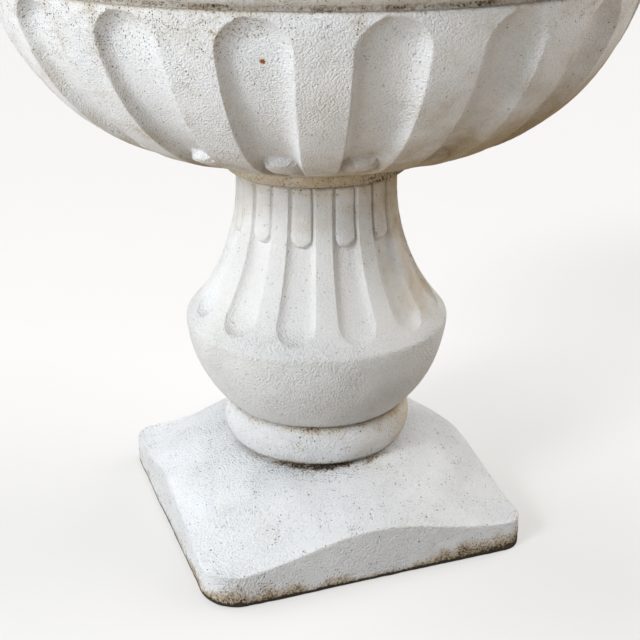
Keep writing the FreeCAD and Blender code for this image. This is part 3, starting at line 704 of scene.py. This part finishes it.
def draw_stem():
    """Stem: a turned profile of a bulging belly, a rounded shoulder and a hollow neck, three arcs that pass
    smoothly into each other, with flutes cut into the neck and tongues left standing in their tops."""
    low, high = (corner[2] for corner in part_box("stem"))
    neck_top = high - NECK_STRAIGHT
    rise = neck_top - low - BELLY_RISE
    flare = BELLY_RADIUS - NECK_RADIUS
    curve = (rise**2 + flare**2) / (2 * flare)
    centre = np.array([NECK_RADIUS + curve, neck_top])
    shoulder = math.asin(rise / curve)
    belly_centre = arc_centre((STEM_FOOT, low), (BELLY_RADIUS, low + BELLY_RISE), BELLY_CURVE)
    round_centre = circles_meet(belly_centre, BELLY_CURVE - SHOULDER_ROUND, centre, curve + SHOULDER_ROUND)
    outward = (round_centre - belly_centre) / (BELLY_CURVE - SHOULDER_ROUND)
    round_low = round_centre + SHOULDER_ROUND * outward
    inward = (centre - round_centre) / (curve + SHOULDER_ROUND)
    round_high = round_centre + SHOULDER_ROUND * inward
    belly = arc_between(belly_centre, (STEM_FOOT, low), round_low)
    rounded = arc_between(round_centre, round_low, round_high)
    tip = high - STEM_TONGUE_DROP

    def on_neck_curve(level):
        """Point of the neck's hollow curve at a height."""
        return np.array([centre[0] - math.sqrt(curve**2 - (neck_top - level) ** 2), level])

    below_tip = on_neck_curve(tip - STEM_TIP_BELOW)
    above_tip = on_neck_curve(tip + STEM_TIP_ABOVE)
    stretches = {
        "tube hole": ([(TUBE_HOLE, high), (TUBE_HOLE, low)], 3),
        "underside": ([(TUBE_HOLE, low)], 3),
        "belly": (belly, 40),
        "shoulder": (rounded, 12),
        "low neck": (arc_between(centre, round_high, below_tip)[:-1], 60),
        "tongue tips": (arc_between(centre, below_tip, above_tip)[:-1], 24),
        "high neck": (arc_between(centre, above_tip, (NECK_RADIUS, neck_top))[:-1], 18),
        "straight neck": ([(NECK_RADIUS, neck_top)], 10),
        "top": ([(NECK_RADIUS, high)], 4),
    }
    points, normals, names = turned_profile(stretches, wear=1.0 * MM)

    # Distance up the profile from the flutes' lower ends, and the columns that follow the flutes.
    fluted = np.isin(names, ("low neck", "tongue tips", "high neck", "straight neck"))
    drop = np.arcsin(np.clip((neck_top - points[:, 1]) / curve, -1, 1))
    along = np.where(fluted, (shoulder - drop) * curve - STEM_FLUTE_MARGIN, OFF_FLUTES)
    end_width = BELLY_RADIUS * math.sin(STEM_FLUTE_HALF_ANGLE)
    narrowing = np.where(fluted, narrowing_at(along, end_width), PLAIN_NARROWING)
    angles, offsets = flute_columns(STEM_COLUMNS, STEM_FLUTES, STEM_FLUTE_HALF_ANGLE, narrowing)

    # Depth of the cut: the flute's own, or that of the tongue's face where the tongue stands in it.
    radius = points[:, :1]
    width = radius * math.sin(STEM_FLUTE_HALF_ANGLE)
    across = radius * np.sin(offsets)
    flute = hollow(across, width, along[:, None], end_width, STEM_FLUTE_DEPTH, STEM_WALL_POWER)
    past_tip = points[:, 1:] - tip
    face = tongue(
        across,
        width - STEM_TONGUE_GROOVE,
        past_tip,
        STEM_TONGUE_ROUND,
        crest=0.4 * MM,
        back=0.7 * MM,
        wall=30 * MM,
    )
    cut = np.where(fluted[:, None], soft_minimum(flute, np.maximum(face, 0), 0.15 * MM), 0)
    cut = np.clip(cut, 0, None)
    grid = worn(carried_round(points, normals, angles, -cut), amount=0.6 * MM, seed=23)

    # Where dirt lies: at the joints, up the neck and on the right, where the stain is partly painted shade.
    height = grid[..., 2]
    outside = (radius > HIDDEN_RADIUS) * np.ones_like(height)
    at_top = smooth_step(high - 12 * MM, high, height) * outside
    upper = smooth_step(high - 90 * MM, high - 10 * MM, height) * outside
    on_neck = smooth_step(low + BELLY_RISE, low + BELLY_RISE + 30 * MM, height) * outside
    at_foot = (1 - smooth_step(low, low + 8 * MM, height)) * outside
    at_tip = (past_tip > -3 * MM) * (flute > 1.0 * MM) * fluted[:, None]
    crease = np.exp(-(((flute - face) / (0.8 * MM)) ** 2)) * at_tip
    right = angle_window(angles, -25, 70)
    masks = {
        "soil_and_shade": 0.12 * at_top + 0.3 * at_foot + 0.16 * crease,
        "lichen": 0.5 * at_top + 0.3 * at_foot + 0.1 * upper + 0.12 * right * outside,
        # The stain on the right, strongest up the neck, is partly painted shade.
        "stain_and_shade": 0.25 * at_top + 0.26 * upper + 0.2 * at_foot + right * (0.15 + 0.34 * on_neck) * outside,
        "grain": 1 - 0.55 * on_neck,
    }
    casting("stem", grid, masks, stem_stone, "pedestal")


def draw_base_ring():
    """Base ring: a half-round profile carried round the axis."""
    low, high = (corner[2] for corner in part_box("base_ring"))
    stretches = {
        "tube hole": ([(TUBE_HOLE, high), (TUBE_HOLE, low)], 3),
        "underside": ([(TUBE_HOLE, low)], 3),
        "bulge": (chord_arc((RING_LOW_RADIUS, low), (RING_TOP_RADIUS, high), RING_BULGE), 44),
        "top": ([(RING_TOP_RADIUS, high)], 3),
    }
    points, normals, _ = turned_profile(stretches, wear=1.2 * MM)
    columns = 320
    angles = np.broadcast_to(np.linspace(0, TURN, columns, endpoint=False), (len(points), columns))
    grid = carried_round(points, normals, angles, np.zeros(angles.shape))
    grid = worn(grid, amount=0.9 * MM, seed=37)

    # Where dirt lies: at the joints, most of all in front, and on the right, where the stain is partly
    # painted shade.
    height = grid[..., 2]
    outside = (points[:, :1] > HIDDEN_RADIUS) * np.ones_like(height)
    below = (1 - smooth_step(low, low + 7 * MM, height)) * outside
    above = smooth_step(high - 6 * MM, high, height) * outside
    right = angle_window(angles, -20, 80)
    front = angle_window(angles, 258, 75)
    masks = {
        "soil_and_shade": (0.2 + 0.35 * front) * below + (0.1 + 0.4 * angle_window(angles, 247, 14)) * above,
        "lichen": 0.4 * below + 0.4 * above + 0.26,
        # The stain on the right is partly painted shade.
        "stain_and_shade": 0.35 * below + 0.25 * above + 0.2 + 0.42 * right * outside,
        "grain": 0.9,
    }
    casting("base_ring", grid, masks, base_stone, "pedestal")


def draw_plinth():
    """Plinth: rings that change from a round hole to a rounded square, under a turned ogee.

    A ring lies at a share of the way from the hole to the edge. The top's height follows the ogee, two
    arcs that meet where it bends, and the edge is rounded off by a quarter circle.
    """
    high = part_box("plinth")[1][2]
    columns = 480
    side, place = np.divmod(np.arange(columns) + 0.5, columns // 4)
    side = side.astype(int)
    before = np.roll(PLINTH_CORNERS, 1)[side]
    corner = PLINTH_CORNERS[side]
    flat = 2 * PLINTH_HALF - before - corner
    walk = place / (columns // 4) * (flat + corner * math.pi / 2)
    bend = np.clip((walk - flat) / corner, 0, None)
    x = PLINTH_HALF - corner * (1 - np.cos(bend))
    y = np.where(bend > 0, PLINTH_HALF - corner * (1 - np.sin(bend)), before - PLINTH_HALF + walk)
    quarter = side * math.pi / 2
    turned_x = x * np.cos(quarter) - y * np.sin(quarter)
    turned_y = x * np.sin(quarter) + y * np.cos(quarter)
    edge = np.stack([turned_x, turned_y], axis=1)
    out = np.stack([np.cos(bend + quarter), np.sin(bend + quarter)], axis=1)

    fall = (high - PLINTH_LAND_RISE) / (PLINTH_LAND - PLINTH_CROWN)
    upper_drop = fall * (PLINTH_BEND - PLINTH_CROWN)
    lower_drop = fall * (PLINTH_LAND - PLINTH_BEND)
    upper = ((PLINTH_BEND - PLINTH_CROWN) ** 2 + upper_drop**2) / (2 * upper_drop)
    lower = ((PLINTH_LAND - PLINTH_BEND) ** 2 + lower_drop**2) / (2 * lower_drop)

    def ogee(radius):
        """Height of the top at a distance from the axis."""
        past_crown = np.clip(radius - PLINTH_CROWN, 0, None)
        crown = high - upper + np.sqrt(np.clip(upper**2 - past_crown**2, 0, None))
        before_land = np.clip(PLINTH_LAND - radius, 0, None)
        cove = PLINTH_LAND_RISE + lower - np.sqrt(np.clip(lower**2 - before_land**2, 0, None))
        return np.where(radius < PLINTH_BEND, crown, cove)

    round_off = 1.3 * MM
    toe_round = 3 * MM
    inset = edge - out * round_off
    inset_radius = np.linalg.norm(inset, axis=1)
    direction = inset / inset_radius[:, None]
    edge_rise = ogee(inset_radius)

    def ring_at(share):
        """Rings at shares of the way from the hole to the edge, and their distances from the axis."""
        radius = DRAIN + (inset_radius - DRAIN) * share[:, None]
        return radius[..., None] * direction, radius

    shares = np.concatenate([np.linspace(1, 0.36, 84), np.linspace(0.34, 0, 8)])
    top, top_radius = ring_at(shares)
    top = np.concatenate([top, ogee(top_radius)[..., None]], axis=-1)
    swing = np.linspace(0, math.pi / 2, 8)[:-1, None]
    shoulder = inset + out * round_off * np.cos(swing)[..., None]
    shoulder_rise = edge_rise - round_off * (1 - np.sin(swing)) - round_off * 0.25 * np.cos(swing)
    shoulder = np.concatenate([shoulder, shoulder_rise[..., None]], axis=-1)
    climb = np.linspace(0, 1, 20)[1:-1, None]
    wall_rise = toe_round + (shoulder_rise[0] - toe_round) * climb
    wall = np.concatenate([np.broadcast_to(edge, (len(climb), *edge.shape)), wall_rise[..., None]], axis=-1)
    toe = edge - out * toe_round * (1 - np.sin(swing)[..., None])
    toe = np.concatenate([toe, (toe_round * (1 - np.cos(swing)) * np.ones(columns))[..., None]], axis=-1)
    under, _ = ring_at(np.linspace(0, 0.97, 8))
    under = np.concatenate([under, np.zeros((*under.shape[:2], 1))], axis=-1)
    grid = np.concatenate([under, toe, wall, shoulder, top])
    grid = worn(grid, amount=0.8 * MM, seed=53)

    # Where dirt lies: splashed up from the ground, most at two corners, and in the joint with the ring. A
    # painted shadow line runs along the very foot, where the plinth meets the floor.
    height = grid[..., 2]
    radius = np.linalg.norm(grid[..., :2], axis=-1)
    angles = np.arctan2(grid[..., 1], grid[..., 0])
    rows = np.arange(len(grid))[:, None]
    side_row = len(under)
    top_row = side_row + len(toe) + len(wall) + len(shoulder)
    arris_row = top_row - len(shoulder) // 2
    on_side = (rows >= side_row) & (rows < top_row)
    on_top = rows >= top_row
    corners = angle_window(angles, 228, 26) + 1.2 * angle_window(angles, 312, 36)
    uneven = height + 6 * MM * rough(grid, 11 * MM, 91)
    splash = (1 - smooth_step(0, 15 * MM + 16 * MM * np.clip(corners, 0, 1), uneven)) * on_side
    at_toe = (1 - smooth_step(0, 7 * MM, height)) * on_side
    front = angle_window(angles, 254, 80)
    clumps = smooth_step(-0.9, 0.0, lattice_noise(grid, 9 * MM, 71))
    ragged = radius + 3 * MM * rough(grid, 7 * MM, 83)
    crevice = (1 - smooth_step(80 * MM, 88 * MM, ragged)) * clumps * on_top
    spatter = np.exp(-(((radius - 84 * MM) / (16 * MM)) ** 2)) * on_top
    # Painted shadow: a black line along the very foot of the plinth, where it meets the floor.
    painted_contact_shadow = (1 - smooth_step(1 * MM, 3.5 * MM, height)) * on_side
    arris = np.exp(-(((rows - arris_row) / 2.5) ** 2))
    masks = {
        "soil_and_shade": 0.95 * painted_contact_shadow
        + 0.25 * at_toe
        + (0.42 + 0.22 * corners) * splash
        + (0.1 + 0.58 * front) * crevice,
        "lichen": 0.3 * at_toe + (0.5 + 0.4 * corners) * splash + (0.06 + 0.5 * front) * spatter + 0.27,
        "stain_and_shade": (0.5 + 0.3 * corners) * splash
        + 0.2 * at_toe
        + 0.04 * on_side
        + 0.3 * arris
        + 0.12 * spatter,
        "grain": 1.0,
    }
    casting("plinth", grid, masks, base_stone, "plinth")


def plain_material(name, colour, roughness, metallic=0.0, grit=0.0):
    """Small hidden pieces: one colour that varies a little, and a rough surface."""
    material = bpy.data.materials.new(name)
    material.use_nodes = True
    tree = material.node_tree
    shader = tree.nodes["Principled BSDF"]
    shader.inputs["Roughness"].default_value = roughness
    shader.inputs["Metallic"].default_value = metallic
    place = add_node(tree, "ShaderNodeTexCoord").outputs["Object"]
    cloud = noise(tree, place, 120.0, 4.0)
    dark = tuple(0.6 * part for part in colour[:3]) + (1.0,)
    tree.links.new(mixed(tree, ramp(tree, cloud, 0.3, 0.7), dark, colour), shader.inputs["Base Color"])
    if grit:
        bump = add_node(tree, "ShaderNodeBump", [("Distance", grit), ("Height", cloud)])
        tree.links.new(bump.outputs["Normal"], shader.inputs["Normal"])
    return material


draw_bowl()
draw_stem()
draw_base_ring()
draw_plinth()

mortar = plain_material("Dirty mortar", (0.16, 0.125, 0.09, 1.0), 0.95, grit=1.0 * MM)
steel = plain_material("Dowel steel", (0.42, 0.42, 0.43, 1.0), 0.4, metallic=0.9)
plastic = plain_material("Tube plastic", (0.32, 0.33, 0.34, 1.0), 0.55)
for node_name, finish, slot in (
    ("plinth_bed", mortar, "mortar"),
    ("ring_bed", mortar, "mortar"),
    ("bowl_bed", mortar, "mortar"),
    ("pedestal_dowels", steel, "dowel_steel"),
    ("drain_tube", plastic, "tube_plastic"),
):
    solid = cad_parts[node_name]
    solid.data.materials.clear()
    solid.data.materials.append(finish)

# Camera: the photograph's place and angle, worked out from the plinth and the turned circles.
CAMERA_PLACE = (-0.3581, -0.9831, 0.6317)
CAMERA_PITCH = math.radians(22.848)
CAMERA_HEADING = math.radians(-20.19)
LENS = 68.45
camera = bpy.data.objects.new("Camera", bpy.data.cameras.new("Camera"))
camera.data.lens = LENS
camera.data.sensor_width = 36.0
camera.location = CAMERA_PLACE
camera.rotation_euler = (math.pi / 2 - CAMERA_PITCH, 0.0, CAMERA_HEADING)
bpy.context.collection.objects.link(camera)
bpy.context.scene.camera = camera


def make_floor():
    """Pale floor: one large sheet under the plinth. The camera sees it near white with a faint shadow,
    because half of what it sees there glows, and the stone is lit from below by a darker, warmer floor."""
    reach = 12.0
    corners = np.array([(-reach, -reach, 0), (reach, -reach, 0), (reach, reach, 0), (-reach, reach, 0)])
    mesh = bpy.data.meshes.new("floor")
    mesh.from_pydata(corners, [], [(0, 1, 2, 3)])
    material = bpy.data.materials.new("Pale floor")
    material.use_nodes = True
    tree = material.node_tree
    seen = add_node(tree, "ShaderNodeLightPath").outputs["Is Camera Ray"]
    shader = tree.nodes["Principled BSDF"]
    shader.inputs["Roughness"].default_value = 0.9
    shader.inputs["Specular IOR Level"].default_value = 0.1
    bounced = (0.27, 0.22, 0.165, 1.0)
    looked_at = (0.68, 0.66, 0.645, 1.0)
    tree.links.new(mixed(tree, seen, bounced, looked_at), shader.inputs["Base Color"])
    glow = add_node(tree, "ShaderNodeEmission", [("Color", (0.93, 0.92, 0.905, 1.0))])
    blend = add_node(tree, "ShaderNodeMixShader", [("Fac", maths(tree, "MULTIPLY", seen, 0.5))])
    tree.links.new(shader.outputs[0], blend.inputs[1])
    tree.links.new(glow.outputs[0], blend.inputs[2])
    tree.links.new(blend.outputs[0], tree.nodes["Material Output"].inputs["Surface"])
    mesh.materials.append(material)
    floor = bpy.data.objects.new("floor", mesh)
    bpy.context.collection.objects.link(floor)


def place_light(name, kind, energy, colour):
    """Adds a light of a kind, as part of the stage."""
    light = bpy.data.objects.new(name, bpy.data.lights.new(name, kind))
    light.data.energy = energy
    light.data.color = colour
    bpy.context.collection.objects.link(light)
    return light


def make_light():
    """Studio daylight: three long panels, a keen light from the left, a high one from behind and a broad
    one from the right, under a sky that only the camera sees bright.

    Headings are degrees round the planter from its front face to the right, and climbs are degrees up.
    """
    distance = 1.6
    aim_height = 0.43
    for name, heading, rise, energy, colour in (
        ("Left panel", -110, 0.2, 4.7, (0.9, 0.95, 1.0)),
        ("Front panel", -57, 0.6, 7.3, (0.82, 0.91, 1.0)),
        ("Right panel", 42, 0.6, 2.4, (0.95, 0.97, 1.0)),
    ):
        panel = place_light(name, "AREA", energy, colour)
        panel.data.shape = "RECTANGLE"
        panel.data.size = 1.2
        panel.data.size_y = 0.4
        panel.data.spread = math.radians(140)
        turn = math.radians(heading)
        panel.location = (distance * math.sin(turn), -distance * math.cos(turn), rise)
        panel.rotation_euler = (math.pi / 2 - math.atan2(rise - aim_height, distance), 0.0, turn)
    for name, heading, climb, spread, energy, colour in (
        ("Keen light", -66, 33, 16, 1.8, (0.97, 0.985, 1.0)),
        ("High light", -140, 62, 50, 1.95, (0.93, 0.97, 1.0)),
        ("Right light", 88, 43, 50, 2.35, (1.0, 0.985, 0.96)),
    ):
        sun = place_light(name, "SUN", energy, colour)
        sun.data.angle = math.radians(spread)
        sun.rotation_euler = (math.radians(90 - climb), 0.0, math.radians(heading))
    world = bpy.data.worlds.new("Sky")
    world.use_nodes = True
    sky = world.node_tree.nodes["Background"]
    sky.inputs["Color"].default_value = (1.0, 1.0, 1.0, 1.0)
    seen = add_node(world.node_tree, "ShaderNodeLightPath").outputs["Is Camera Ray"]
    strength = maths(world.node_tree, "MULTIPLY_ADD", seen, 0.88, 0.04)
    world.node_tree.links.new(strength, sky.inputs["Strength"])
    bpy.context.scene.world = world


make_floor()
make_light()
bpy.context.scene.view_settings.view_transform = "Standard"
